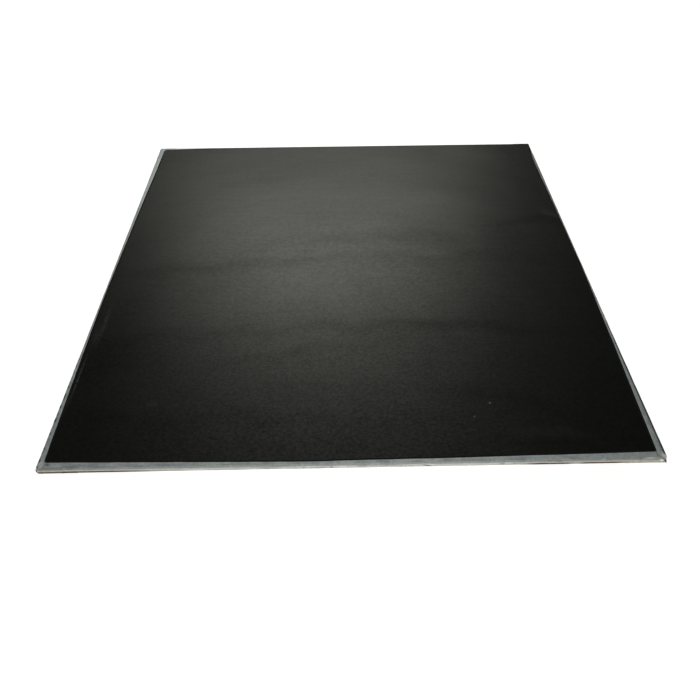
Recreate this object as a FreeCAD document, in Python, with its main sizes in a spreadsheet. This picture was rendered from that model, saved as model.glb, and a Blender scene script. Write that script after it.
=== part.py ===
"""A thin square granite work slab whose edges are bound all round with silver cloth tape.

The slab is one stone tile with its two front corners cut short and all its edges eased. Four
strips of tape are wrapped over those edges, each lapping a little way onto the work face and
much further onto the underside. The front and rear strips go on first. The left and right
strips go over their ends, so the tape is double at the corners, and the spare end of each side
strip is folded round the corner as a short tab.

+X is to the right, +Y to the back and +Z up. The origin is at the middle of the surface that
the slab lies on, which only the four doubled corners of the tape touch.
"""

import FreeCAD, Part
import os
import Sketcher
from FreeCAD import Placement, Rotation, Vector

STEP_FOLDER = "parts"

# Driving dimensions in millimetres. A lap is how far a strip reaches onto the work face. The
# tape was laid by hand, so each lap is given at both ends of its strip and at the middle.
DIMENSIONS = (
    ("slab_width", 610.0),
    ("slab_depth", 610.0),
    ("stone_thickness", 7.0),
    ("stone_arris", 1.5),
    ("stone_corner", 3.5),
    ("tape_thickness", 0.25),
    ("tape_width", 48.0),
    ("corner_tab", 22.0),
    ("front_lap_left", 7.7),
    ("front_lap_middle", 3.6),
    ("front_lap_right", 7.7),
    ("rear_lap_left", 5.5),
    ("rear_lap_middle", 1.2),
    ("rear_lap_right", 1.2),
    ("left_lap_front", 6.2),
    ("left_lap_middle", 2.4),
    ("left_lap_rear", 7.6),
    ("right_lap_front", 8.2),
    ("right_lap_middle", 1.4),
    ("right_lap_rear", 3.8),
)


def cell(alias):
    """The expression that reads one driving dimension."""
    return f"Dimensions.{alias}"


# Expressions that several pieces share. Heights are above the surface that the slab lies on.
TAPE = cell("tape_thickness")
HALF_WIDTH = f"{cell('slab_width')} / 2"
HALF_DEPTH = f"{cell('slab_depth')} / 2"
STONE_BOTTOM = f"2 * {TAPE}"
STONE_MIDDLE = f"{STONE_BOTTOM} + {cell('stone_thickness')} / 2"
SINGLE_BOTTOM = TAPE
SINGLE_TOP = f"{STONE_BOTTOM} + {cell('stone_thickness')} + {TAPE}"
DOUBLE_TOP = f"{SINGLE_TOP} + {TAPE}"

# Sketches are first drawn this size, and then their constraints move every point into place.
DRAWN_HALF = 300.0
DRAWN_LAP = 10.0

# The largest rise in mm from end to end of an edge that is level.
LEVEL_RISE = 1e-3

# The largest volume in mm3 that two sub-parts which only touch may seem to share.
TOUCHING_VOLUME = 1e-3


def add_dimensions(doc):
    sheet = doc.addObject("Spreadsheet::Sheet", "Dimensions")
    for row, (alias, value) in enumerate(DIMENSIONS, start=1):
        sheet.set(f"A{row}", str(value))
        sheet.setAlias(f"A{row}", alias)
    doc.recompute()
    return sheet


def bind(target, expressions):
    """Bind properties of an object to expressions, as {property path: expression}."""
    for path, expression in expressions.items():
        target.setExpression(path, expression)


def add_box(doc, name, low, high):
    """A box between two corners, each given as three expressions."""
    box = doc.addObject("Part::Box", name)
    for axis, size, near, far in zip("xyz", ("Length", "Width", "Height"), low, high):
        bind(box, {f"Placement.Base.{axis}": near, size: f"({far}) - ({near})"})
    return box


def add_fusion(doc, name, pieces):
    fusion = doc.addObject("Part::MultiFuse", name)
    fusion.Shapes = pieces
    return fusion


def add_common(doc, name, pieces):
    common = doc.addObject("Part::MultiCommon", name)
    common.Shapes = pieces
    return common


def add_cut(doc, name, base, tool):
    cut = doc.addObject("Part::Cut", name)
    cut.Base = base
    cut.Tool = tool
    return cut


def origin_plane(body, role):
    return next(plane for plane in body.Origin.OriginFeatures if plane.Role == role)


def pin_point(sketch, geometry, end, x, y):
    """Fix a point of a sketch at expressions for its two coordinates."""
    drawn = sketch.getPoint(geometry, end)
    for kind, distance, expression in (("DistanceX", drawn.x, x), ("DistanceY", drawn.y, y)):
        constraint = Sketcher.Constraint(kind, -1, 1, geometry, end, distance)
        index = sketch.addConstraint(constraint)
        sketch.setExpression(f"Constraints[{index}]", expression)


def edge_names(shape, front_corners):
    """The names of a block's upright edges at the front, or else those of all its others."""
    names = []
    for number, edge in enumerate(shape.Edges, start=1):
        first, last = (vertex.Point for vertex in edge.Vertexes)
        upright = abs(last.z - first.z) > LEVEL_RISE
        if (upright and first.y < 0) == front_corners:
            names.append(f"Edge{number}")
    return names


def add_chamfer(body, name, base, edges, size):
    chamfer = body.newObject("PartDesign::Chamfer", name)
    chamfer.Base = (base, edges)
    bind(chamfer, {"Size": size})
    return chamfer


def add_eased_block(doc, name, growth):
    """The block of the tile with its front corners cut and its edges eased, grown all over."""
    body = doc.addObject("PartDesign::Body", name)
    bind(body, {"Placement.Base.z": f"{STONE_BOTTOM} - {growth}"})
    outline = body.newObject("Sketcher::SketchObject", f"{name}_outline")
    outline.AttachmentSupport = (origin_plane(body, "XY_Plane"), [""])
    outline.MapMode = "FlatFace"
    signs = ((-1, -1), (1, -1), (1, 1), (-1, 1))
    corners = [Vector(x * DRAWN_HALF, y * DRAWN_HALF, 0) for x, y in signs]
    for start in range(4):
        end = (start + 1) % 4
        outline.addGeometry(Part.LineSegment(corners[start], corners[end]), False)
    for start in range(4):
        outline.addConstraint(Sketcher.Constraint("Coincident", start, 2, (start + 1) % 4, 1))
    for start, kind in enumerate(("Horizontal", "Vertical", "Horizontal", "Vertical")):
        outline.addConstraint(Sketcher.Constraint(kind, start))
    half_width, half_depth = f"{HALF_WIDTH} + {growth}", f"{HALF_DEPTH} + {growth}"
    pin_point(outline, 0, 1, f"-({half_width})", f"-({half_depth})")
    pin_point(outline, 2, 1, half_width, half_depth)
    pad = body.newObject("PartDesign::Pad", f"{name}_thickness")
    pad.Profile = outline
    bind(pad, {"Length": f"{cell('stone_thickness')} + 2 * {growth}"})
    # A bevel that moves out evenly with the block gets longer on each face by this much.
    grown = f"(2 - sqrt(2)) * {growth}"
    doc.recompute()
    corners = edge_names(pad.Shape, True)
    corner_size = f"{cell('stone_corner')} + {grown}"
    cut_short = add_chamfer(body, f"{name}_corners", pad, corners, corner_size)
    doc.recompute()
    others = edge_names(cut_short.Shape, False)
    arris_size = f"{cell('stone_arris')} + {grown}"
    body.Tip = add_chamfer(body, f"{name}_arris", cut_short, others, arris_size)
    return body


def add_lap_outline(doc, name, half_length, outer_y, inner_y, laps):
    """The plan of a strip's upper side, closed by the arc of its hand-laid edge.

    The strip lies along X with the outside of the slab towards -Y. inner_y is the stone's own
    edge, and laps are measured inwards from it, at the -X end, the middle and the +X end.
    """
    start_y, middle_y, end_y = (f"{inner_y} + {cell(lap)}" for lap in laps)
    sketch = doc.addObject("Sketcher::SketchObject", name)
    near_left, near_right = (Vector(side * DRAWN_HALF, 0, 0) for side in (-1, 1))
    far_left, far_right = (Vector(side * DRAWN_HALF, DRAWN_LAP, 0) for side in (-1, 1))
    far_middle = Vector(0, DRAWN_LAP / 2, 0)
    sketch.addGeometry(Part.LineSegment(near_left, near_right), False)
    sketch.addGeometry(Part.LineSegment(near_right, far_right), False)
    sketch.addGeometry(Part.Arc(far_left, far_middle, far_right), False)
    sketch.addGeometry(Part.LineSegment(far_left, near_left), False)
    sketch.addGeometry(Part.Point(far_middle), True)
    sketch.addConstraint(Sketcher.Constraint("Coincident", 0, 2, 1, 1))
    sketch.addConstraint(Sketcher.Constraint("Coincident", 1, 2, 2, 2))
    sketch.addConstraint(Sketcher.Constraint("Coincident", 2, 1, 3, 1))
    sketch.addConstraint(Sketcher.Constraint("Coincident", 3, 2, 0, 1))
    sketch.addConstraint(Sketcher.Constraint("PointOnObject", 4, 1, 2))
    pin_point(sketch, 0, 1, f"-({half_length})", outer_y)
    pin_point(sketch, 0, 2, half_length, outer_y)
    pin_point(sketch, 1, 2, half_length, end_y)
    pin_point(sketch, 3, 1, f"-({half_length})", start_y)
    pin_point(sketch, 4, 1, "0", middle_y)
    return sketch


def under_lap(middle_lap):
    """How far a strip reaches under the slab: what its width leaves after the lap and the edge."""
    return f"({cell('tape_width')} - {cell('stone_thickness')} - {cell(middle_lap)})"


def add_wrap(doc, name, half_length, inner_y, laps, bottom, top):
    """A strip's solid envelope along X, before the stone and the tape beneath are cut out of it.

    Its upper block has the plan of the lap on the work face, and its lower block reaches under
    the slab. Both meet at half the height of the stone.
    """
    outer_y = f"{inner_y} - {TAPE}"
    outline = add_lap_outline(doc, f"{name}_lap_outline", half_length, outer_y, inner_y, laps)
    bind(outline, {"Placement.Base.z": STONE_MIDDLE})
    upper = doc.addObject("Part::Extrusion", f"{name}_upper")
    upper.Base = outline
    upper.DirMode = "Custom"
    upper.Dir = Vector(0, 0, 1)
    upper.Solid = True
    bind(upper, {"LengthFwd": f"{top} - ({STONE_MIDDLE})"})
    lower = add_box(
        doc,
        f"{name}_lower",
        (f"-({half_length})", outer_y, bottom),
        (half_length, f"{inner_y} + {under_lap(laps[1])}", STONE_MIDDLE),
    )
    return [upper, lower]


def add_end_strip(doc, name, turn, laps, stone, single_skin):
    """A front or rear strip: one thickness of tape, cut off flush with the stone's sides."""
    pieces = add_wrap(
        doc, name, HALF_WIDTH, f"-{HALF_DEPTH}", laps, SINGLE_BOTTOM, SINGLE_TOP
    )
    envelope = add_fusion(doc, f"{name}_envelope", pieces)
    envelope.Placement = Placement(Vector(), Rotation(Vector(0, 0, 1), turn))
    pressed = add_common(doc, f"{name}_pressed", [envelope, single_skin])
    return add_cut(doc, name, pressed, stone)


def add_side_strip(doc, name, turn, laps, neighbours, beneath, skins):
    """A left or right strip, which goes over the ends of the two strips it meets.

    neighbours are the laps and middle laps of those two strips, at this strip's -X end and at
    its +X end. Between them the strip steps down by one thickness, on to the stone.
    """
    single_skin, double_skin = skins
    half_length = f"({HALF_DEPTH} + {TAPE})"
    inner_y = f"-{HALF_WIDTH}"
    outer_y = f"{inner_y} - {TAPE}"
    pieces = add_wrap(doc, name, half_length, inner_y, laps, "0", DOUBLE_TOP)
    tab_end = f"{inner_y} + {cell('corner_tab')}"
    for side, near, far in (
        ("start", f"-{half_length} - {TAPE}", f"-{half_length}"),
        ("end", half_length, f"{half_length} + {TAPE}"),
    ):
        low = (near, outer_y, SINGLE_BOTTOM)
        high = (far, tab_end, SINGLE_TOP)
        pieces.append(add_box(doc, f"{name}_tab_{side}", low, high))
    envelope = add_fusion(doc, f"{name}_envelope", pieces)
    turned = Placement(Vector(), Rotation(Vector(0, 0, 1), turn))
    envelope.Placement = turned
    pressed = add_common(doc, f"{name}_pressed", [envelope, double_skin])

    (start_lap, start_middle), (end_lap, end_middle) = neighbours
    upper_span = add_box(
        doc,
        f"{name}_upper_span",
        (f"{cell(start_lap)} + {TAPE} - {HALF_DEPTH}", f"{outer_y} - {TAPE}", STONE_MIDDLE),
        (f"{HALF_DEPTH} - {cell(end_lap)} - {TAPE}", "0", f"{DOUBLE_TOP} + {TAPE}"),
    )
    lower_span = add_box(
        doc,
        f"{name}_lower_span",
        (f"{under_lap(start_middle)} + {TAPE} - {HALF_DEPTH}", f"{outer_y} - {TAPE}", f"-{TAPE}"),
        (f"{HALF_DEPTH} - {under_lap(end_middle)} - {TAPE}", "0", STONE_MIDDLE),
    )
    spans = add_fusion(doc, f"{name}_spans", [upper_span, lower_span])
    spans.Placement = turned
    relief = add_cut(doc, f"{name}_relief", spans, single_skin)
    stepped = add_cut(doc, f"{name}_stepped", pressed, relief)
    return add_cut(doc, name, stepped, beneath)


def add_edge_tape(doc, stone):
    """The four strips. Each runs left to right as seen from its own side of the slab."""
    single_skin = add_eased_block(doc, "single_skin", TAPE)
    double_skin = add_eased_block(doc, "double_skin", f"2 * {TAPE}")
    front_laps = ("front_lap_left", "front_lap_middle", "front_lap_right")
    right_laps = ("right_lap_front", "right_lap_middle", "right_lap_rear")
    rear_laps = ("rear_lap_right", "rear_lap_middle", "rear_lap_left")
    left_laps = ("left_lap_rear", "left_lap_middle", "left_lap_front")
    front = add_end_strip(doc, "edge_tape_front", 0, front_laps, stone, single_skin)
    rear = add_end_strip(doc, "edge_tape_rear", 180, rear_laps, stone, single_skin)
    beneath = add_fusion(doc, "beneath_side_strips", [stone, front, rear])
    front_right = (front_laps[2], front_laps[1])
    rear_right = (rear_laps[0], rear_laps[1])
    rear_left = (rear_laps[2], rear_laps[1])
    front_left = (front_laps[0], front_laps[1])
    skins = (single_skin, double_skin)
    right = add_side_strip(
        doc, "edge_tape_right", 90, right_laps, (front_right, rear_right), beneath, skins
    )
    left = add_side_strip(
        doc, "edge_tape_left", 270, left_laps, (rear_left, front_left), beneath, skins
    )
    return [front, rear, left, right]


def check(doc, subparts):
    """Stop if any object failed, or a sub-part isn't one valid solid clear of the others."""
    failed = [thing.Name for thing in doc.Objects if {"Invalid", "Error"} & set(thing.State)]
    if failed:
        raise RuntimeError(f"these objects failed: {', '.join(failed)}")
    for subpart in subparts:
        shape = subpart.Shape
        if shape.isNull() or not shape.isValid() or len(shape.Solids) != 1:
            raise RuntimeError(f"{subpart.Label} isn't one valid solid")
    for index, subpart in enumerate(subparts):
        for other in subparts[index + 1 :]:
            shared = subpart.Shape.common(other.Shape).Volume
            if shared > TOUCHING_VOLUME:
                raise RuntimeError(f"{subpart.Label} and {other.Label} share {shared:.3f} mm3")


def main():
    doc = FreeCAD.newDocument("granite_slab")
    add_dimensions(doc)
    stone = add_eased_block(doc, "granite_tile", "0")
    subparts = [stone] + add_edge_tape(doc, stone)
    doc.recompute()
    check(doc, subparts)
    os.makedirs(STEP_FOLDER, exist_ok=True)
    for subpart in subparts:
        subpart.Shape.exportStep(os.path.join(STEP_FOLDER, f"{subpart.Label}.step"))
        print(f"{subpart.Label}: {subpart.Shape.Volume:.1f} mm3, {subpart.Shape.BoundBox}")


main()
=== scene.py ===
import math

import bpy
import numpy as np
from mathutils import Matrix, Vector


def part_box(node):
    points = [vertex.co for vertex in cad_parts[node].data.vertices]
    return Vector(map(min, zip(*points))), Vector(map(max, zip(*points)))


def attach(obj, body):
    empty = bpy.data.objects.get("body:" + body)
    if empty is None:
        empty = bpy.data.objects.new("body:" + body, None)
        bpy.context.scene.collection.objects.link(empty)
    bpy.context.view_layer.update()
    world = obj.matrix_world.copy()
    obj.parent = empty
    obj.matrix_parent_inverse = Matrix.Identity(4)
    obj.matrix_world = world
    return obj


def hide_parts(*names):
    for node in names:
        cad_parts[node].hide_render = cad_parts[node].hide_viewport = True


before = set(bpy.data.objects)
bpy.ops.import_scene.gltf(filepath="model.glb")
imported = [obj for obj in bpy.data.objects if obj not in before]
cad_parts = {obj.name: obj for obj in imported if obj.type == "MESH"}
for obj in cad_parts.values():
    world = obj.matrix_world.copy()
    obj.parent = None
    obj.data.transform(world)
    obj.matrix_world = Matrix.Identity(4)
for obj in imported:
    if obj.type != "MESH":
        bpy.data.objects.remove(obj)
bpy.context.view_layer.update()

MM = 0.001

# The stone and the tape as the CAD model has them. The slab lies on two thicknesses of tape.
STONE_LOW, STONE_HIGH = (np.array(corner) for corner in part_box("granite_tile"))
STONE_TOP = STONE_HIGH[2]
STONE_HEIGHT = STONE_HIGH[2] - STONE_LOW[2]
TAPE = STONE_LOW[2] / 2
ARRIS = 1.5 * MM
TAPE_WIDTH = 48 * MM
CORNER_CUT = 3.5 * MM

# The spare end of a side strip, folded round each corner on to the next face.
CORNER_TAB = 26 * MM

# The tape is pressed hard over the upper arris, and hangs square and loose over the lower one.
# These are the powers of the two rounded sections: 1 is a flat bevel, 2 a round, more is squarer.
# One section turns into the other between the two heights.
PRESSED, LOOSE = 1.25, 4.0
LOOSE_BELOW, PRESSED_ABOVE = 2.5 * MM, 5.0 * MM

# From this height down, the tape at the front right corner fills out the stone's cut corner.
FULL_CORNER = 4.5 * MM

# Each strip runs left to right as seen from its own side of the slab. Its lap on the work face
# narrows from both ends to a narrowest place, given as a fraction of the half length.
OUTWARD = {"front": (0, -1), "right": (1, 0), "rear": (0, 1), "left": (-1, 0)}
LAPS = {
    "front": {"start": 7.7 * MM, "least": 3.5 * MM, "end": 7.7 * MM, "place": -0.10},
    "right": {"start": 7.7 * MM, "least": 1.4 * MM, "end": 4.6 * MM, "place": -0.05},
    "rear": {"start": 1.2 * MM, "least": 0.8 * MM, "end": 6.0 * MM, "place": 0.66},
    "left": {"start": 7.6 * MM, "least": 1.9 * MM, "end": 6.2 * MM, "place": 0.20},
}
# The power by which a lap widens away from its narrowest place.
LAP_CURVE = 1.2
# Each strip has random wobbles, creases and blotches of its own.
SEEDS = {"front": 11, "right": 22, "rear": 33, "left": 44}

# How far the folded tape stands off sideways at the foot of each corner. The corners are named
# by their sides in x and y, and the stand-off fades over the two distances.
FLARES = {(1, -1): 0.6 * MM, (-1, -1): 3.0 * MM, (1, 1): 0.8 * MM, (-1, 1): 0.8 * MM}
FLARE_FROM_SIDE, FLARE_FROM_END = 8.0 * MM, 12.0 * MM

# The mesh of a strip has this many rows along it, and this many columns on each of its parts.
ROWS = 406
LAP_COLUMNS, BEND_COLUMNS, FACE_COLUMNS, UNDER_COLUMNS = 6, 10, 8, 8
# The mesh of a corner tab has this many rows round its bend and on from it, and down its face.
TAB_BEND_ROWS, TAB_ROWS, TAB_COLUMNS = 5, 26, 18
# This many small random creases stand up along an edge.
END_CREASES, SIDE_CREASES = 14, 12

# A thin dark line lies on the stone along each lap, reaching this far out from under it.
DARK_LINE_WIDTH = 1.9 * MM

# A strip's marks, which its material reads: where a point lies along and round the strip; how
# much it is of the vertical face, the darker shoulder, the painted shadow at the foot and the
# painted highlight on the inner rim; how much pale patch and painted highlight it has; how much
# grime and painted shade; whether it is the dark line on the stone; and how much painted warm
# reflection and how light its grey is.
MARKS = (
    "run", "round", "edge", "shoulder", "under", "rim_highlight", "pale", "grime_and_shade", "dark_line", "warm_reflection", "tone",
)

# Small things on the face of the front strip, in millimetres: the place from the strip's middle
# and from its top edge, the half sizes, how far it leans over, and its strength. A wrinkle's
# strength is its height.
WRINKLES = (((72.0, 1.8), (3.0, 1.4), 2.0, 0.35),)
# Painted highlights: pale streaks where the bulges and wrinkles of the face catch the light.
HIGHLIGHT_STREAKS = (
    ((60.0, 2.6), (9.0, 1.6), -9.0, 0.50),
    ((76.5, 2.9), (2.2, 1.8), 2.6, 0.80),
    ((90.0, 3.8), (9.0, 0.9), 0.0, 0.40),
    ((-34.0, 3.6), (12.0, 1.0), 0.0, 0.45),
    ((-10.0, 3.8), (6.0, 1.6), 0.0, 0.50),
    ((2.0, 4.2), (3.0, 1.2), 0.0, 0.60),
    ((-101.0, 3.4), (8.0, 0.9), 0.0, 0.45),
    ((-205.0, 3.0), (30.0, 0.7), 0.0, 0.30),
    ((133.0, 3.9), (11.0, 1.0), 0.0, 0.45),
    ((152.0, 2.2), (5.0, 1.0), 0.0, 0.50),
    ((243.0, -0.2), (1.2, 1.6), -0.8, 0.60),
)
# Darker spots on the face; the strongest, below the wrinkle, is painted shade.
DARK_SPOTS_AND_SHADE = (
    ((72.5, 4.3), (2.0, 1.5), 2.2, 1.30),
    ((-47.0, 4.2), (1.8, 1.2), 0.0, 0.60),
    ((-20.5, 4.2), (1.0, 1.8), 0.0, 0.70),
    ((-34.0, 5.6), (13.0, 1.0), 0.0, 0.60),
    ((-80.0, 3.4), (11.0, 2.2), 0.0, 0.28),
    ((11.0, 2.4), (2.5, 1.6), 0.0, 0.35),
    ((30.0, 2.4), (12.0, 1.0), -8.0, 0.30),
    ((157.0, 3.4), (1.6, 1.4), 0.0, 0.45),
    ((145.0, 3.6), (1.8, 1.4), 0.0, 0.60),
    ((200.0, 1.8), (2.0, 1.0), 0.0, 0.50),
    ((-294.5, -5.0), (2.2, 1.4), 0.0, 0.70),
    ((-272.0, -1.0), (6.0, 1.4), 0.0, 0.20),
)

# Marks that wiping left on the stone, in metres: where the middle is, half the length and width,
# how far the ends droop towards the front, the rise to the right, and how much shinier it is.
WIPES = (
    ((-0.030, 0.008), (0.270, 0.011), 0.013, 0.03, -0.12),
    ((0.050, 0.058), (0.110, 0.016), 0.014, -0.04, -0.13),
    ((-0.160, -0.004), (0.120, 0.014), 0.010, 0.06, -0.08),
    ((-0.040, -0.122), (0.290, 0.009), 0.012, 0.03, -0.13),
    ((0.090, -0.114), (0.120, 0.012), 0.004, 0.00, -0.12),
    ((-0.040, -0.156), (0.110, 0.010), 0.002, 0.20, -0.13),
    ((-0.255, -0.160), (0.060, 0.030), 0.010, 0.10, -0.16),
    ((0.150, -0.222), (0.070, 0.010), 0.008, -0.30, -0.13),
    ((-0.130, -0.248), (0.170, 0.008), 0.004, 0.02, -0.12),
    ((0.202, -0.268), (0.042, 0.006), 0.006, -0.22, 0.35),
    ((0.190, -0.280), (0.048, 0.005), 0.005, -0.18, -0.16),
    ((0.150, 0.138), (0.065, 0.020), 0.016, -0.30, 0.10),
    ((0.265, 0.092), (0.050, 0.010), 0.016, -0.10, -0.20),
    ((0.296, 0.100), (0.016, 0.012), 0.006, -0.80, 0.40),
    ((0.000, -0.208), (0.110, 0.004), 0.002, 0.02, -0.07),
    ((-0.295, -0.160), (0.055, 0.180), 0.0, 0.0, -0.18),
    ((0.170, -0.050), (0.090, 0.170), 0.0, 0.0, -0.125),
    ((0.075, 0.080), (0.050, 0.050), 0.0, 0.0, -0.06),
    ((-0.020, 0.210), (0.180, 0.045), 0.0, 0.0, -0.09),
    ((-0.055, -0.045), (0.060, 0.060), 0.0, 0.0, 0.12),
    ((0.205, 0.270), (0.050, 0.040), 0.0, 0.0, 0.22),
    ((0.275, 0.160), (0.022, 0.045), 0.0, 0.0, -0.08),
    ((0.080, -0.140), (0.045, 0.035), 0.0, 0.0, -0.10),
    ((-0.225, -0.260), (0.055, 0.045), 0.0, 0.0, -0.12),
    ((0.210, 0.050), (0.032, 0.055), 0.0, 0.0, -0.08),
    ((0.100, -0.285), (0.075, 0.028), 0.0, 0.0, 0.10),
)

# Pale scuffs on the stone beside the left strip of tape, one near the front left corner and two
# specks, in metres: middle, half sizes, rise, strength.
SCUFFS = (
    ((-0.2895, -0.102), (0.0022, 0.020), -0.30, 0.55),
    ((-0.2935, -0.128), (0.0050, 0.016), 0.10, 0.30),
    ((-0.2965, -0.190), (0.0012, 0.026), 0.05, 1.00),
    ((-0.2990, -0.228), (0.0010, 0.012), 0.05, 0.80),
    ((-0.2080, -0.228), (0.0060, 0.0040), 0.0, 0.25),
    ((0.1450, -0.2340), (0.0011, 0.0011), 0.0, 3.0),
    ((0.1260, -0.2510), (0.0010, 0.0010), 0.0, 2.4),
)

# The colours of the stone, in linear light: its crystals, its few paler flecks and the dust.
CRYSTAL_DARK, CRYSTAL_LIGHT = (0.0006, 0.0006, 0.0006, 1), (0.0030, 0.0030, 0.0028, 1)
FLECK, DUST = (0.014, 0.0145, 0.014, 1), (0.5, 0.52, 0.5, 1)
# How many crystals and flecks lie along a metre, how strong the sheen is, and how rough.
CRYSTAL_SCALE, FLECK_SCALE = 620.0, 240.0
SHEEN, SHEEN_ROUGHNESS = 0.45, 0.446

# The colours of the tape, in linear light: its film on the lap, and its scuffed vertical face,
# with a painted warm reflection on it.
FILM_DARK, FILM_LIGHT = (0.31, 0.345, 0.36, 1), (0.47, 0.515, 0.515, 1)
FILM_BLUISH, FILM_GREENISH = (0.29, 0.32, 0.375, 1), (0.45, 0.495, 0.465, 1)
FACE_DARK, FACE_LIGHT = (0.36, 0.365, 0.335, 1), (0.56, 0.565, 0.54, 1)
FACE_DULL, FACE_WARM_REFLECTION = (0.40, 0.39, 0.34, 1), (0.40, 0.385, 0.30, 1)
# The colours of its marks: the darker shoulder, the painted highlight on the inner rim, pale
# patches and painted highlights, the painted shadow at the foot, grime and painted shade, and
# the dark line on the stone.
DARKER_SHOULDER, RIM_HIGHLIGHT = (0.26, 0.26, 0.205, 1), (0.50, 0.54, 0.53, 1)
PALE_PATCH_AND_HIGHLIGHT, FOOT_SHADOW = (0.80, 0.81, 0.77, 1), (0.075, 0.048, 0.024, 1)
GRIME_AND_SHADE, DARK_LINE_COLOUR = (0.035, 0.036, 0.040, 1), (0.0015, 0.0015, 0.0015, 1)
THREAD_SCALE = 230.0

# The height of the bump in both materials, before its strength.
BUMP_HEIGHT = 0.1 * MM

# The floor and the lights.
FLOOR_DARK, FLOOR_LIGHT = (0.83, 0.83, 0.83, 1), (0.86, 0.86, 0.86, 1)
FLOOR_REACH = 6.0
FLOOR_GLOW = 0.71
STRIP_DISTANCE, STRIP_ELEVATION, STRIP_AZIMUTH = 1.6, math.radians(37.6), math.radians(3.6)
STRIP_SIZE, STRIP_POWER, STRIP_COLOUR = (0.96, 0.10), 6.9, (0.98, 1.0, 0.885)
KEY_PLACE, KEY_SIZE, KEY_POWER = (-0.45, -3.3, 3.6), (3.3, 2.1), 99.0
WORLD_STRENGTH = 0.01

# The camera: half a metre above the slab and just in front of it, looking down at its middle.
CAMERA_PLACE = (-0.0052, -0.6131, 0.5029)
CAMERA_TURN, CAMERA_DOWN, CAMERA_ROLL = -0.656, 47.270, -0.463
LENS, SENSOR = 30.61, 36.0


# ---------------------------------------------------------------- shapes


def smooth(low, high, value):
    """0 below low, 1 above high, and a smooth step between."""
    t = np.clip((value - low) / (high - low), 0.0, 1.0)
    return t * t * (3 - 2 * t)


def hump(value, middle, width):
    """1 at the middle, fading to nearly 0 at twice the width from it."""
    return np.exp(-(((value - middle) / width) ** 2))


def wander(along, spacing, seed):
    """A smooth random line between -1 and 1, with a turn about every spacing."""
    knots = np.random.default_rng(seed).uniform(-1, 1, 4096)
    place = along / spacing + len(knots) // 2
    index = np.floor(place).astype(int)
    t = smooth(0.0, 1.0, place - index)
    return knots[index] * (1 - t) + knots[index + 1] * t


def spot(along, across, place, size, slant=0.0):
    """1 at a place on a strip, fading to nearly 0 at twice its size; slant leans it over."""
    a = (along - place[0] - slant * (across - place[1])) / size[0]
    b = (across - place[1]) / size[1]
    return np.exp(-(a * a + b * b))


def spots(along, across, table):
    """The spots of a table in millimetres, each with its strength."""
    total = np.zeros_like(along)
    for place, size, slant, strength in table:
        total += strength * spot(along / MM, across / MM, place, size, slant)
    return total


def sharp_point(side, along, across):
    """A point of the stone's sharp box, from how far along a strip and how far round the edge.

    across is 0 at the top edge, negative on the work face, and grows down the edge and then
    inwards under the slab.
    """
    outward = np.array(OUTWARD[side], dtype=float)
    direction = np.array([-outward[1], outward[0]])
    half = STONE_HIGH[:2] @ np.abs(outward)
    inward = np.maximum(-across, 0) + np.maximum(across - STONE_HEIGHT, 0)
    flat = along[..., None] * direction + (half - inward)[..., None] * outward
    height = STONE_TOP - np.clip(across, 0, STONE_HEIGHT)
    return np.concatenate([flat, height[..., None]], axis=-1)


def wrapped(points, lift):
    """Points of the sharp box, moved in to the eased edges and then out again by lift."""
    core = np.clip(points, STONE_LOW + ARRIS, STONE_HIGH - ARRIS)
    away = points - core
    loose = 1 - smooth(LOOSE_BELOW, PRESSED_ABOVE, points[..., 2:])
    power = PRESSED + (LOOSE - PRESSED) * loose
    reach = (np.abs(away) ** power).sum(axis=-1, keepdims=True) ** (1 / power)
    outwards = away / np.linalg.norm(away, axis=-1, keepdims=True)
    return cut_short(core + away * (ARRIS / reach) + outwards * lift[..., None], lift)


def cut_short(points, lift):
    """Points near the two front corners, moved in to the stone's cut corners.

    At the foot of the front right corner the folded tape keeps its square corner.
    """
    moved = points.copy()
    reach = STONE_HIGH[0] + STONE_HIGH[1] - CORNER_CUT + math.sqrt(2) * lift
    excess = np.maximum(np.abs(points[..., 0]) - points[..., 1] - reach, 0)
    excess = excess * np.where(points[..., 0] > 0, smooth(0.0, FULL_CORNER, points[..., 2]), 1.0)
    moved[..., 0] -= np.sign(points[..., 0]) * excess / 2
    moved[..., 1] += excess / 2
    return moved


def flared(points):
    """Points of the folded tape, which stands off the stone towards the foot of each corner."""
    moved = points.copy()
    low = 1 - smooth(0.0, STONE_TOP, points[..., 2])
    for (side, end), aside in FLARES.items():
        from_side = np.maximum(STONE_HIGH[0] - side * points[..., 0], 0) / FLARE_FROM_SIDE
        from_end = np.maximum(STONE_HIGH[1] - end * points[..., 1], 0) / FLARE_FROM_END
        moved[..., 0] += side * aside * low * np.exp(-(from_side**2) - from_end**2)
    return moved


def lap_width(side, along, half):
    """The lap on the work face at a place along a strip, with the wobble of a hand-laid edge."""
    lap = LAPS[side]
    f = along / half
    before = np.clip((lap["place"] - f) / (lap["place"] + 1), 0, 1) ** LAP_CURVE
    after = np.clip((f - lap["place"]) / (1 - lap["place"]), 0, 1) ** LAP_CURVE
    width = lap["least"] + (lap["start"] - lap["least"]) * before
    width += (lap["end"] - lap["least"]) * after
    if side == "right":
        # This lap narrows to a millimetre at the rear corner.
        width = 1.0 * MM + (width - 1.0 * MM) * (1 - smooth(0.80, 0.97, f))
    seed = SEEDS[side]
    width = width + 0.12 * MM * wander(along, 12 * MM, seed)
    return width + 0.2 * MM * wander(along, 55 * MM, seed + 1)


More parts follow.
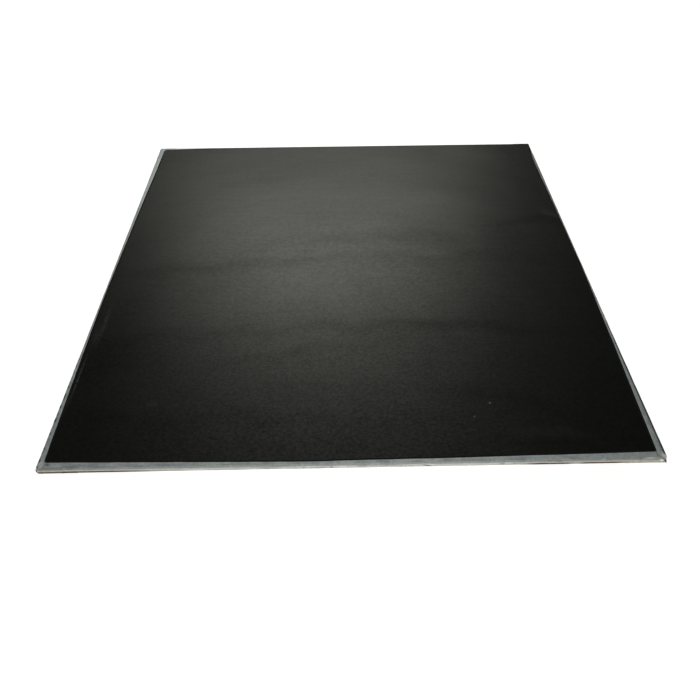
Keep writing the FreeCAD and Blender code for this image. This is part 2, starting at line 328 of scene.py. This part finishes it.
def stations(lap, reach):
    """How far round the edge each column of a strip's mesh lies, for one width of lap.

    The first columns are the dark line on the stone, and the last ones lie under the slab.
    """
    bend = np.linspace(1, -1, BEND_COLUMNS + 1)[:-1] * ARRIS
    inner = min(lap, ARRIS)
    dark_line = [-lap - DARK_LINE_WIDTH, -lap - 1.0 * MM, -lap - 0.12 * MM]
    upper_lap = list(-np.linspace(lap, inner, LAP_COLUMNS + 1)[:-1])
    upper_bend = list(-bend * inner / ARRIS)
    face = list(np.linspace(ARRIS, STONE_HEIGHT - ARRIS, FACE_COLUMNS + 1)[:-1])
    lower_bend = list(STONE_HEIGHT - bend)
    under = list(np.linspace(STONE_HEIGHT + ARRIS, STONE_HEIGHT + reach, UNDER_COLUMNS))
    return np.array(dark_line + upper_lap + upper_bend + face + lower_bend + under)


def strip_grid(side, half):
    """The grid of a strip: how far along and round each point is, and each row's lap."""
    rows = np.linspace(-half, half, ROWS)
    lap = lap_width(side, rows, half)[:, None]
    reach = TAPE_WIDTH - STONE_HEIGHT - LAPS[side]["least"]
    across = np.stack([stations(width, reach) for width in lap[:, 0]])
    along = np.repeat(rows[:, None], across.shape[1], axis=1)
    return along, across, lap


def creases(side, along, across, half, count):
    """How far small random creases and a slow ripple stand up along the edge."""
    rng = np.random.default_rng(SEEDS[side] + 2)
    ripple = 0.10 * MM * (1 + wander(along, 11 * MM, SEEDS[side] + 3))
    raised = ripple * hump(across, 1.0 * MM, 1.6 * MM)
    for _ in range(count):
        place = (rng.uniform(-half, half), rng.uniform(0.5, 5.0) * MM)
        size = (rng.uniform(0.8, 2.4) * MM, rng.uniform(1.0, 3.0) * MM)
        height = rng.uniform(0.10, 0.30) * MM
        raised = raised + height * spot(along, across, place, size, rng.uniform(-2.5, 2.5))
    return raised * (1 - smooth(STONE_HEIGHT - 1.5 * MM, STONE_HEIGHT, across))


def strip_lift(side, along, across, lap, half, count):
    """How far the middle of a strip's thickness stands off the stone.

    The dark line is a film on the stone, with the rest of its thickness sunk into it.
    """
    lift = TAPE / 2 + creases(side, along, across, half, count)
    return np.where(across < -lap - 0.05 * MM, -TAPE / 2 + 0.03 * MM, lift)


def sheet_mesh(name, grids, attributes):
    """One mesh from grids of points, with float attributes given on the same grids."""
    points, faces, offset = [], [], 0
    for grid in grids:
        rows, columns = grid.shape[:2]
        index = np.arange(rows * columns).reshape(rows, columns) + offset
        corners = [index[:-1, :-1], index[1:, :-1], index[1:, 1:], index[:-1, 1:]]
        faces.extend(np.stack(corners, axis=-1).reshape(-1, 4).tolist())
        points.append(grid.reshape(-1, 3))
        offset += rows * columns
    mesh = bpy.data.meshes.new(name)
    mesh.from_pydata(np.concatenate(points).tolist(), [], faces)
    for key, values in attributes.items():
        layer = mesh.attributes.new(key, "FLOAT", "POINT")
        flat = np.concatenate([value.ravel() for value in values])
        layer.data.foreach_set("value", flat.astype(np.float32))
    mesh.polygons.foreach_set("use_smooth", [True] * len(mesh.polygons))
    mesh.validate()
    piece = bpy.data.objects.new(name, mesh)
    bpy.context.scene.collection.objects.link(piece)
    return piece


def add_piece(side, grids, marks, material):
    """A strip of tape from its sheets, each with its marks: values that the material reads."""
    attributes = {key: [sheet_marks[key] for sheet_marks in marks] for key in MARKS}
    piece = sheet_mesh(f"tape_{side}", grids, attributes)
    thicken = piece.modifiers.new("tape_thickness", "SOLIDIFY")
    thicken.thickness = TAPE
    thicken.offset = 0.0
    thicken.use_even_offset = False
    shade = piece.modifiers.new("flat_faces_lead", "WEIGHTED_NORMAL")
    shade.weight = 80
    piece.data.materials.append(material)
    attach(piece, "root")
    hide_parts(f"edge_tape_{side}")


def blank_marks(shape):
    """Clean tape: every mark is 0, and the tone, which multiplies the colour, is 1."""
    marks = {name: np.zeros(shape) for name in MARKS}
    marks["tone"] += 1.0
    return marks


def foot(across):
    """A painted contact shadow: the brown line at the foot of the vertical face."""
    return smooth(3.2 * MM, 4.4 * MM, across)


def shoulder(across):
    """The darker shoulder between the lap and the vertical face."""
    return smooth(-2.4 * MM, 0.2 * MM, across)


def strip_marks(side, along, across, lap, half):
    """The marks that all four strips have. The face starts lower in the middle of a strip."""
    ends = np.abs(along / half) ** 2
    marks = blank_marks(along.shape)
    marks["run"], marks["round"] = along + SEEDS[side], across
    turn = (2.9 - 1.5 * ends) * MM + 0.35 * MM * wander(along, 9 * MM, SEEDS[side] + 5)
    marks["edge"] = smooth(turn - 0.55 * MM, turn + 0.35 * MM, across)
    marks["shoulder"] = shoulder(across) * (1 - marks["edge"]) * (0.6 + 0.4 * ends)
    # A painted highlight along the lap's inner rim.
    marks["rim_highlight"] = np.exp(-np.maximum(across + lap, 0) / (0.8 * MM))
    marks["dark_line"] = (across < -lap - 0.02 * MM).astype(float)
    # A painted warm reflection on the vertical face, strongest towards the ends.
    marks["warm_reflection"] = ends * 0.8
    return marks


def end_strip(side, material):
    """The front or rear strip, cut off at the ends of the stone."""
    half = STONE_HIGH[0] - ARRIS
    along, across, lap = strip_grid(side, half)
    lift = strip_lift(side, along, across, lap, half, END_CREASES)
    marks = strip_marks(side, along, across, lap, half)
    if side == "front":
        lift += MM * spots(along, across, WRINKLES)
        mark_front(marks, along, across, along / half)
    points = wrapped(sharp_point(side, along, across), lift)
    add_piece(side, [points], [marks], material)


def mark_front(marks, along, across, f):
    """The front strip: painted highlights and dark nicks along its face, one a painted shade, and
    a painted shadow at its foot along two stretches.

    f grows from the left end (-1) to the right end (1).
    """
    marks["pale"] = spots(along, across, HIGHLIGHT_STREAKS)
    marks["grime_and_shade"] = spots(along, across, DARK_SPOTS_AND_SHADE)
    left_stretch = 1 - smooth(-0.76, -0.54, f)
    right_stretch = smooth(0.53, 0.60, f) * (1 - smooth(0.84, 0.90, f))
    right_stretch *= 1 - 0.75 * hump(f, 0.715, 0.018)
    # A painted contact shadow along the foot, at two stretches.
    marks["under"] = foot(across) * (left_stretch + right_stretch)
    marks["tone"] = 0.97 + 0.16 * (1 - f**2) + 0.10 * hump(f, 0.25, 0.4)


def side_strip(side, material):
    """The left or right strip, over the ends of the other two, with a tab at each corner."""
    half = STONE_HIGH[1]
    along, across, lap = strip_grid(side, half)
    lift = strip_lift(side, along, across, lap, half, SIDE_CREASES)
    marks = strip_marks(side, along, across, lap, half)
    # A painted contact shadow along the foot.
    marks["under"] = foot(across)

    # f grows from the rear (-1) to the front (1) on both sides.
    f = along / half * (-1 if side == "right" else 1)
    from_front = half * (1 - f)
    double = doubled(side, across, from_front, half * (1 + f))
    on_lap = 1 - smooth(0.0, ARRIS, across)
    below = smooth(0, ARRIS, across - STONE_HEIGHT + ARRIS)
    lift += TAPE * double * (on_lap + below)
    marks["dark_line"] *= 1 - 0.65 * double
    if side == "right":
        lift += 0.9 * MM * right_bulge(across, f)
        mark_right(marks, across, f, from_front)
    else:
        mark_left(marks, along, across, f, double)
    sheets = [(wrapped(sharp_point(side, along, across), lift), marks)]
    sheets += [corner_tab(side, end) for end in (-1, 1)]
    grids = [flared(grid) for grid, _ in sheets]
    add_piece(side, grids, [sheet_marks for _, sheet_marks in sheets], material)


def doubled(side, across, from_front, from_rear):
    """1 where a side strip lies on the end of the front or rear strip, and 0 elsewhere."""
    near, far = ("end", "start") if side == "right" else ("start", "end")
    double = np.zeros_like(across)
    for distance, lap in ((from_front, LAPS["front"][near]), (from_rear, LAPS["rear"][far])):
        on_top = 1 - smooth(lap - 0.2 * MM, lap + 0.9 * MM, distance)
        below = 1 - smooth(TAPE_WIDTH * 0.8, TAPE_WIDTH * 0.85, distance)
        upper = 1 - smooth(STONE_HEIGHT * 0.4, STONE_HEIGHT * 0.6, across)
        double = np.maximum(double, on_top * upper + below * (1 - upper))
    return double


def right_bulge(across, f):
    """The right edge bulges towards the front, where it shows from above."""
    bulge = smooth(0.62, 0.80, f) * smooth(0.5 * MM, 3.0 * MM, across)
    return bulge * (1 - smooth(STONE_HEIGHT - 1.0 * MM, STONE_HEIGHT + 1.0 * MM, across))


def mark_right(marks, across, f, from_front):
    """The right strip: painted shade along its outer edge towards the front, and at the corner a
    painted highlight on the fold and painted light on the shaded face.
    """
    painted_corner_light = 1 - smooth(4.0 * MM, 6.0 * MM, from_front)
    # Painted shade along the outer edge towards the front, where it bulges out.
    shaded_outer_edge = smooth(0.30, 0.60, f) * smooth(-2.9 * MM, -1.6 * MM, across)
    marks["grime_and_shade"] = 1.2 * shaded_outer_edge * smooth(4.0 * MM, 6.0 * MM, from_front)
    # A painted warm reflection at the corner.
    marks["warm_reflection"] += 1 - smooth(3.0 * MM, 6.0 * MM, from_front)
    # A painted highlight on the fold, and painted light on the corner face, which lies in shade.
    fold = spot(from_front, across, (3.0 * MM, -2.8 * MM), (2.4 * MM, 2.4 * MM), -0.4)
    marks["pale"] = 1.4 * fold + painted_corner_light * smooth(0.5 * MM, 1.5 * MM, across)
    marks["tone"] = (0.93 + 0.05 * (1 - f)) * (1 - 0.35 * smooth(0.45, -0.30, f))


def mark_left(marks, along, across, f, double):
    """The left strip: grime specks on its shoulder near the front, a paler doubled lap, and a
    painted sheen that lightens it to the rear.
    """
    specks = np.maximum(wander(along, 2.2 * MM, 71), 0) * hump(across, -1.2 * MM, 1.0 * MM)
    marks["grime_and_shade"] = 2.2 * smooth(0.45, 0.7, f) * specks
    marks["pale"] = 0.35 * double * (across < ARRIS)
    # A painted sheen: the tone lightens towards the rear.
    rear_sheen = smooth(-0.1, -0.75, f)
    ahead = smooth(0.2, -0.2, np.abs(f - 0.3))
    marks["tone"] = 1.02 + 0.45 * rear_sheen + 0.05 * ahead


def corner_tab(side, end):
    """The spare end of a side strip, folded round the corner on to the next face."""
    outward = np.array(OUTWARD[side], dtype=float)
    onward = np.array([-outward[1], outward[0]]) * end
    round_bend = np.linspace(0, 1, TAB_BEND_ROWS + 1)[:-1] * ARRIS
    fold = np.concatenate([round_bend, np.linspace(ARRIS, CORNER_TAB, TAB_ROWS)])
    # The tab laps a little on to the work face, most in its middle.
    margin = (0.3 + 1.5 * np.sin(np.pi * fold / CORNER_TAB)) * MM
    face = np.linspace(0, STONE_HEIGHT, TAB_COLUMNS)
    across = np.stack([np.concatenate([[-lap, -lap / 2], face]) for lap in margin])
    away = np.repeat(fold[:, None], across.shape[1], axis=1)
    inward = np.maximum(-across, 0)
    flat = (STONE_HIGH[1] - inward)[..., None] * onward
    flat = flat + (STONE_HIGH[0] - away)[..., None] * outward
    height = STONE_TOP - np.clip(across, 0, STONE_HEIGHT)
    points = np.concatenate([flat, height[..., None]], axis=-1)

    lift = TAPE / 2 + TAPE * smooth(0, 1.5 * MM, away)
    middle = np.sin(np.pi * away / CORNER_TAB)
    lift += 0.40 * MM * middle * hump(across, 0.8 * MM, 1.5 * MM)
    lift += 0.30 * MM * spot(away, across, (4.5 * MM, 3.0 * MM), (1.0 * MM, 4.0 * MM), 0.5)
    lift += 0.12 * MM * smooth(CORNER_TAB - 4 * MM, CORNER_TAB, away)
    placed, marks = wrapped(points, lift), tab_marks(side, end, away, across)
    if end > 0:
        # This keeps the outer faces of both tabs turned outwards.
        placed = placed[:, ::-1]
        marks = {name: values[:, ::-1] for name, values in marks.items()}
    return placed, marks


def tab_marks(side, end, away, across):
    """The marks of a corner tab. Only the two at the front have them: painted highlights, a
    painted glint, darker patches, painted shade, a painted foot shadow and a painted warm
    reflection.
    """
    marks = blank_marks(away.shape)
    marks["run"], marks["round"] = away + SEEDS[side] + 5 + end, across
    marks["edge"] = smooth(0.9 * MM, 1.7 * MM, across)
    marks["shoulder"] = shoulder(across) * (1 - marks["edge"])
    if (side, end) == ("right", -1):
        # A painted highlight along the tab's top margin, and a painted glint on its fold.
        rim_highlight = spot(away, across, (17.0 * MM, -0.8 * MM), (8.5 * MM, 1.0 * MM))
        painted_glint = spot(away, across, (5.6 * MM, 2.3 * MM), (1.3 * MM, 1.2 * MM), -0.5)
        marks["pale"] = rim_highlight + 2.8 * painted_glint
        # Darker patches: a facet at the corner and a line across the face.
        fold = (1 - smooth(3.2 * MM, 4.6 * MM, away)) * smooth(0.5 * MM, 1.5 * MM, across)
        line = spot(away, across, (12.0 * MM, 2.3 * MM), (8.0 * MM, 0.5 * MM))
        marks["grime_and_shade"] = 0.30 * fold + 0.35 * line
        # A painted warm reflection.
        marks["warm_reflection"] += 0.8
        marks["tone"] *= 0.95
    elif (side, end) == ("left", 1):
        # Painted shade in the gap under the loosely folded tab.
        marks["grime_and_shade"] = spot(away, across, (4.5 * MM, 4.6 * MM), (1.4 * MM, 1.2 * MM))
        # A painted contact shadow at the foot of the tab.
        marks["under"] = foot(across) * smooth(2.5 * MM, 4.0 * MM, away)
        # A painted warm reflection.
        marks["warm_reflection"] += 0.8
        marks["tone"] *= 0.90
    return marks


# ---------------------------------------------------------------- materials


def new_material(name):
    material = bpy.data.materials.new(name)
    material.use_nodes = True
    tree = material.node_tree
    tree.nodes.clear()
    output = tree.nodes.new("ShaderNodeOutputMaterial")
    shader = tree.nodes.new("ShaderNodeBsdfPrincipled")
    tree.links.new(shader.outputs["BSDF"], output.inputs["Surface"])
    return material, tree, shader


def node(tree, kind, inputs=None, **settings):
    """A new node with its settings made, and its inputs linked or given values."""
    made = tree.nodes.new(kind)
    for key, value in settings.items():
        setattr(made, key, value)
    for key, value in (inputs or {}).items():
        plug(tree, made, key, value)
    return made


def plug(tree, made, key, value):
    """Links a socket to an input of a node, or sets the input's own value."""
    if isinstance(value, bpy.types.NodeSocket):
        tree.links.new(value, made.inputs[key])
    else:
        made.inputs[key].default_value = value


def math_node(tree, operation, first, second=None, third=None):
    values = {i: v for i, v in enumerate((first, second, third)) if v is not None}
    return node(tree, "ShaderNodeMath", values, operation=operation).outputs[0]


def mix_colour(tree, factor, first, second, blend="MIX"):
    """first where factor is 0, second where it is 1.

    The colours of a Mix node are its inputs 6 and 7, and the mixed one is its output 2.
    """
    made = node(tree, "ShaderNodeMix", data_type="RGBA", blend_type=blend)
    for socket, value in ((0, factor), (6, first), (7, second)):
        plug(tree, made, socket, value)
    return made.outputs[2]


def grey(tree, value):
    """A number as a colour of three equal parts."""
    made = node(tree, "ShaderNodeCombineXYZ", {"X": value, "Y": value, "Z": value})
    return made.outputs["Vector"]


def ramp(tree, value, low, high, to_low=0.0, to_high=1.0):
    """to_low where value is low, to_high where it is high, and a smooth step between."""
    limits = {"From Min": low, "From Max": high, "To Min": to_low, "To Max": to_high}
    made = node(
        tree, "ShaderNodeMapRange", {"Value": value, **limits}, interpolation_type="SMOOTHSTEP"
    )
    return made.outputs["Result"]


def clamped(tree, value):
    return node(tree, "ShaderNodeClamp", {"Value": value}).outputs["Result"]


def noise(tree, vector, scale, detail):
    made = node(tree, "ShaderNodeTexNoise", {"Vector": vector, "Scale": scale, "Detail": detail})
    return made.outputs["Fac"]


def stretched_noise(tree, vector, scale, detail):
    """Noise with a different scale along each axis."""
    scaled = node(tree, "ShaderNodeMapping", {"Vector": vector, "Scale": scale})
    return noise(tree, scaled.outputs["Vector"], 1.0, detail)


def stroke(tree, x, y, middle, size, droop, rise):
    """1 along a gently curved stroke on the work face, fading to 0 all round it."""
    along = math_node(tree, "DIVIDE", math_node(tree, "SUBTRACT", x, middle[0]), size[0])
    squared = math_node(tree, "MULTIPLY", along, along)
    line = math_node(tree, "MULTIPLY_ADD", along, rise * size[0] / size[1], middle[1] / size[1])
    line = math_node(tree, "MULTIPLY_ADD", squared, -droop / size[1], line)
    off = math_node(tree, "SUBTRACT", math_node(tree, "DIVIDE", y, size[1]), line)
    fade = math_node(tree, "MULTIPLY", squared, squared)
    total = math_node(tree, "MULTIPLY_ADD", off, off, fade)
    return math_node(tree, "EXPONENT", math_node(tree, "MULTIPLY", total, -1.0))


def total_of(tree, values):
    """The sum of several sockets."""
    total = values[0]
    for value in values[1:]:
        total = math_node(tree, "ADD", total, value)
    return total


def arcs(tree, x, y):
    """Coordinates that follow the sweep of a wiping arm about a point near the front edge."""
    ahead = math_node(tree, "SUBTRACT", y, -0.16)
    ahead_squared = math_node(tree, "MULTIPLY", ahead, ahead)
    distance = math_node(tree, "SQRT", math_node(tree, "MULTIPLY_ADD", x, x, ahead_squared))
    angle = math_node(tree, "ARCTAN2", x, ahead)
    turned = math_node(tree, "MULTIPLY", angle, 1.6)
    out = math_node(tree, "MULTIPLY", distance, 20.0)
    return node(tree, "ShaderNodeCombineXYZ", {"X": turned, "Y": out}).outputs["Vector"]


def granite_colour(tree, place, x, y, crystal):
    """Near-black crystals, a few paler ones among them, and pale scuffs."""
    dark = mix_colour(tree, crystal.outputs[0], CRYSTAL_DARK, CRYSTAL_LIGHT)
    pale = node(tree, "ShaderNodeTexVoronoi", {"Vector": place, "Scale": FLECK_SCALE})
    pale_crystal = node(tree, "ShaderNodeSeparateColor", {"Color": pale.outputs["Color"]})
    near_middle = ramp(tree, pale.outputs["Distance"], 0.0, 0.45, 0.6, 0.0)
    chosen = ramp(tree, pale_crystal.outputs[1], 0.86, 0.98)
    flecks = math_node(tree, "MULTIPLY", chosen, near_middle)
    colour = mix_colour(tree, flecks, dark, FLECK)
    dust = []
    for middle, size, rise, strength in SCUFFS:
        scuff = stroke(tree, x, y, middle, size, 0.0, rise)
        dust.append(math_node(tree, "MULTIPLY", scuff, strength))
    ragged = ramp(tree, noise(tree, place, 260.0, 3.0), 0.30, 0.60)
    dust = math_node(tree, "MULTIPLY", total_of(tree, dust), ragged)
    return mix_colour(tree, math_node(tree, "MULTIPLY", dust, 0.1), colour, DUST)


def granite_sheen(tree, place, x, y, crystal):
    """How strong the clear sheen is: wipe marks, streaks, crystals, wisps and worn grain.

    The wipe marks wander a little from their curves, and break up along them.
    """
    waver = ramp(tree, noise(tree, place, 14.0, 3.0), 0.2, 0.8, -0.012, 0.012)
    y_waved = math_node(tree, "ADD", y, waver)
    film = []
    for middle, size, droop, rise, shine in WIPES:
        mark = stroke(tree, x, y_waved, middle, size, droop, rise)
        film.append(math_node(tree, "MULTIPLY", mark, shine))
    swept = {"Vector": arcs(tree, x, y), "Scale": 1.0, "Detail": 4.0}
    swept = node(tree, "ShaderNodeTexNoise", {**swept, "Roughness": 0.5, "Distortion": 0.5})
    film.append(ramp(tree, swept.outputs["Fac"], 0.25, 0.75, -0.055, 0.055))
    film.append(ramp(tree, crystal.outputs[1], 0.0, 1.0, -0.05, 0.05))
    wisps = stretched_noise(tree, place, (13.0, 170.0, 13.0), 3.0)
    film.append(ramp(tree, wisps, 0.25, 0.75, -0.035, 0.035))
    film = total_of(tree, film)
    film = math_node(tree, "MULTIPLY_ADD", speckle(tree, place, y), wear(tree, x, y), film)
    return math_node(tree, "ADD", film, SHEEN)


def speckle(tree, place, y):
    """The grain of the sheen about 0, coarser at the rear and finer towards the front."""
    coarse = stretched_noise(tree, place, (165.0, 230.0, 165.0), 2.0)
    fine = stretched_noise(tree, place, (310.0, 390.0, 310.0), 2.0)
    finer = math_node(tree, "SUBTRACT", fine, coarse)
    grain = math_node(tree, "MULTIPLY_ADD", finer, ramp(tree, y, 0.12, -0.20), coarse)
    return math_node(tree, "SUBTRACT", grain, 0.5)


def wear(tree, x, y):
    """How much the grain shows: little at the rear and sides, most along the middle in front."""
    middle = ramp(tree, y, 0.17, -0.08, 0.20, 1.04)
    front = ramp(tree, y, -0.21, -0.28, 0.0, 0.45)
    off_middle = math_node(tree, "ABSOLUTE", math_node(tree, "ADD", x, 0.03))
    inner = ramp(tree, off_middle, 0.08, 0.28, 1.0, 0.40)
    return math_node(tree, "MULTIPLY", math_node(tree, "ADD", middle, front), inner)


def granite_material():
    """Honed black granite: tight crystals, a soft sheen, wipe marks in its sealer and scuffs."""
    material, tree, shader = new_material("black_granite")
    place = node(tree, "ShaderNodeTexCoord").outputs["Object"]
    split = node(tree, "ShaderNodeSeparateXYZ", {"Vector": place})
    x, y = split.outputs["X"], split.outputs["Y"]
    crystals = node(tree, "ShaderNodeTexVoronoi", {"Vector": place, "Scale": CRYSTAL_SCALE})
    crystal = node(tree, "ShaderNodeSeparateColor", {"Color": crystals.outputs["Color"]})

    tree.links.new(granite_colour(tree, place, x, y, crystal), shader.inputs["Base Color"])
    tree.links.new(granite_sheen(tree, place, x, y, crystal), shader.inputs["Coat Weight"])
    shader.inputs["Coat Roughness"].default_value = SHEEN_ROUGHNESS
    shader.inputs["Coat IOR"].default_value = 1.5
    shader.inputs["Specular IOR Level"].default_value = 0.29
    rough = ramp(tree, crystal.outputs[2], 0.0, 1.0, 0.42, 0.47)
    tree.links.new(rough, shader.inputs["Roughness"])

    height = math_node(tree, "ADD", crystal.outputs[2], noise(tree, place, 520.0, 2.0))
    relief = {"Strength": 0.22, "Distance": BUMP_HEIGHT, "Height": height}
    bump = node(tree, "ShaderNodeBump", relief)
    tree.links.new(bump.outputs["Normal"], shader.inputs["Normal"])
    tree.links.new(bump.outputs["Normal"], shader.inputs["Coat Normal"])
    return material


def tape_colour(tree, place, laid, blotches, mark):
    """The blotched grey of the lap, and the scuffed grey of the vertical face with a painted warm
    reflection on it; a darker shoulder and a painted highlight along the inner rim.
    """
    slow = stretched_noise(tree, laid, (22.0, 70.0, 1.0), 2.0)
    scuffs = stretched_noise(tree, laid, (50.0, 400.0, 1.0), 3.0)
    patches = noise(tree, place, 30.0, 2.0)
    film = mix_colour(tree, ramp(tree, blotches, 0.34, 0.66), FILM_DARK, FILM_LIGHT)
    film = mix_colour(tree, ramp(tree, slow, 0.52, 0.72, 0.0, 0.55), film, FILM_BLUISH)
    film = mix_colour(tree, ramp(tree, patches, 0.4, 0.7, 0.0, 0.4), film, FILM_GREENISH)
    face = mix_colour(tree, ramp(tree, scuffs, 0.32, 0.68), FACE_DARK, FACE_LIGHT)
    face = mix_colour(tree, ramp(tree, slow, 0.45, 0.7, 0.0, 0.5), face, FACE_DULL)
    # A painted warm reflection on the vertical face.
    face = mix_colour(tree, mark("warm_reflection"), face, FACE_WARM_REFLECTION)
    colour = mix_colour(
        tree, math_node(tree, "MULTIPLY", mark("shoulder"), 0.75), film, DARKER_SHOULDER
    )
    colour = mix_colour(tree, mark("edge"), colour, face)
    # A painted highlight along the lap's inner rim.
    colour = mix_colour(tree, math_node(tree, "MULTIPLY", mark("rim_highlight"), 0.35), colour, RIM_HIGHLIGHT)
    colour = mix_colour(tree, 1.0, colour, grey(tree, mark("tone")), "MULTIPLY")
    mottle = ramp(tree, noise(tree, place, 420.0, 2.0), 0.3, 0.7, 0.90, 1.10)
    return mix_colour(tree, 1.0, colour, grey(tree, mottle), "MULTIPLY")


def tape_material():
    """Silver cloth tape: a grey plastic film over a thread scrim, with grime and scuffs, and with
    painted highlights, shade and shadow.
    """
    material, tree, shader = new_material("silver_tape")
    place = node(tree, "ShaderNodeTexCoord").outputs["Object"]

    def mark(name):
        return node(tree, "ShaderNodeAttribute", attribute_name=name).outputs["Fac"]

    laid = node(tree, "ShaderNodeCombineXYZ", {"X": mark("run"), "Y": mark("round")})
    laid = laid.outputs["Vector"]
    blotches = stretched_noise(tree, laid, (75.0, 210.0, 1.0), 4.0)
    fine = noise(tree, place, 650.0, 2.0)

    colour = tape_colour(tree, place, laid, blotches, mark)
    # Pale patches, and painted highlights and glints.
    colour = mix_colour(tree, clamped(tree, mark("pale")), colour, PALE_PATCH_AND_HIGHLIGHT)
    # The painted contact shadow at the foot.
    shadowed_foot = clamped(tree, mark("under"))
    colour = mix_colour(tree, shadowed_foot, colour, FOOT_SHADOW)
    # Grime, and painted shade.
    grime_and_shade_mask = math_node(tree, "MULTIPLY", mark("grime_and_shade"), ramp(tree, fine, 0.2, 0.5, 0.6, 1.0))
    grime_and_shade_mask = clamped(tree, grime_and_shade_mask)
    colour = mix_colour(tree, grime_and_shade_mask, colour, GRIME_AND_SHADE)
    colour = mix_colour(tree, mark("dark_line"), colour, DARK_LINE_COLOUR)
    tree.links.new(colour, shader.inputs["Base Color"])

    # Places with the painted shadow at the foot, with grime and with painted shade shine less.
    darkened = math_node(tree, "MAXIMUM", shadowed_foot, grime_and_shade_mask)
    shine = math_node(tree, "MULTIPLY_ADD", darkened, -0.42, 0.5)
    tree.links.new(shine, shader.inputs["Specular IOR Level"])
    rough = math_node(tree, "MAXIMUM", ramp(tree, blotches, 0.3, 0.7, 0.38, 0.54), mark("dark_line"))
    tree.links.new(rough, shader.inputs["Roughness"])

    threads = []
    for direction in ("X", "Y"):
        weave = {"Vector": place, "Scale": THREAD_SCALE, "Distortion": 0.6}
        thread = node(tree, "ShaderNodeTexWave", weave, bands_direction=direction)
        threads.append(thread.outputs["Fac"])
    height = math_node(tree, "MULTIPLY_ADD", fine, 0.8, total_of(tree, threads))
    relief = {"Strength": 0.25, "Distance": BUMP_HEIGHT, "Height": height}
    bump = node(tree, "ShaderNodeBump", relief)
    tree.links.new(bump.outputs["Normal"], shader.inputs["Normal"])
    return material


def floor_material():
    """A pale, faintly mottled floor with a little glow of its own, so that it looks white."""
    material, tree, shader = new_material("pale_floor")
    place = node(tree, "ShaderNodeTexCoord").outputs["Object"]
    colour = mix_colour(tree, noise(tree, place, 3.0, 2.0), FLOOR_DARK, FLOOR_LIGHT)
    tree.links.new(colour, shader.inputs["Base Color"])
    shader.inputs["Roughness"].default_value = 0.9
    shader.inputs["Emission Color"].default_value = (1.0, 1.0, 0.995, 1.0)
    shader.inputs["Emission Strength"].default_value = FLOOR_GLOW
    return material


# ---------------------------------------------------------------- stage


def add_floor():
    mesh = bpy.data.meshes.new("floor")
    signs = ((-1, -1), (1, -1), (1, 1), (-1, 1))
    corners = [(x * FLOOR_REACH, y * FLOOR_REACH, 0) for x, y in signs]
    mesh.from_pydata(corners, [], [(0, 1, 2, 3)])
    floor = bpy.data.objects.new("floor", mesh)
    bpy.context.scene.collection.objects.link(floor)
    mesh.materials.append(floor_material())


def add_light(name, place, size, power, colour=(1.0, 1.0, 1.0)):
    """A rectangle of light, aimed at the middle of the slab."""
    light = bpy.data.lights.new(name, "AREA")
    light.shape = "RECTANGLE"
    light.size, light.size_y = size
    light.energy = power
    light.color = colour
    lamp = bpy.data.objects.new(name, light)
    lamp.location = place
    lamp.rotation_euler = (-Vector(place)).to_track_quat("-Z", "Y").to_euler()
    bpy.context.scene.collection.objects.link(lamp)


def add_lights():
    """A long soft strip behind the slab for the sheen on the stone, and a soft key in front."""
    out = STRIP_DISTANCE * math.cos(STRIP_ELEVATION)
    up = STRIP_DISTANCE * math.sin(STRIP_ELEVATION)
    strip = (-out * math.sin(STRIP_AZIMUTH), out * math.cos(STRIP_AZIMUTH), up)
    add_light("rear_strip", strip, STRIP_SIZE, STRIP_POWER, STRIP_COLOUR)
    add_light("front_key", KEY_PLACE, KEY_SIZE, KEY_POWER)
    world = bpy.data.worlds.new("studio")
    world.use_nodes = True
    backdrop = world.node_tree.nodes["Background"]
    backdrop.inputs["Color"].default_value = (1, 1, 1, 1)
    backdrop.inputs["Strength"].default_value = WORLD_STRENGTH
    bpy.context.scene.world = world


def add_camera():
    data = bpy.data.cameras.new("camera")
    data.lens = LENS
    data.sensor_width = SENSOR
    camera = bpy.data.objects.new("camera", data)
    turn = Matrix.Rotation(math.radians(CAMERA_TURN), 4, "Z")
    tilt = Matrix.Rotation(math.radians(90 - CAMERA_DOWN), 4, "X")
    roll = Matrix.Rotation(math.radians(CAMERA_ROLL), 4, "Z")
    camera.matrix_world = Matrix.Translation(CAMERA_PLACE) @ turn @ tilt @ roll
    bpy.context.scene.collection.objects.link(camera)
    bpy.context.scene.camera = camera


granite = granite_material()
tape = tape_material()
stone = bpy.data.objects["granite_tile"]
for slot in stone.material_slots:
    slot.material = granite
for side in ("front", "rear"):
    end_strip(side, tape)
for side in ("left", "right"):
    side_strip(side, tape)
add_floor()
add_lights()
add_camera()
bpy.context.scene.view_settings.view_transform = "Standard"
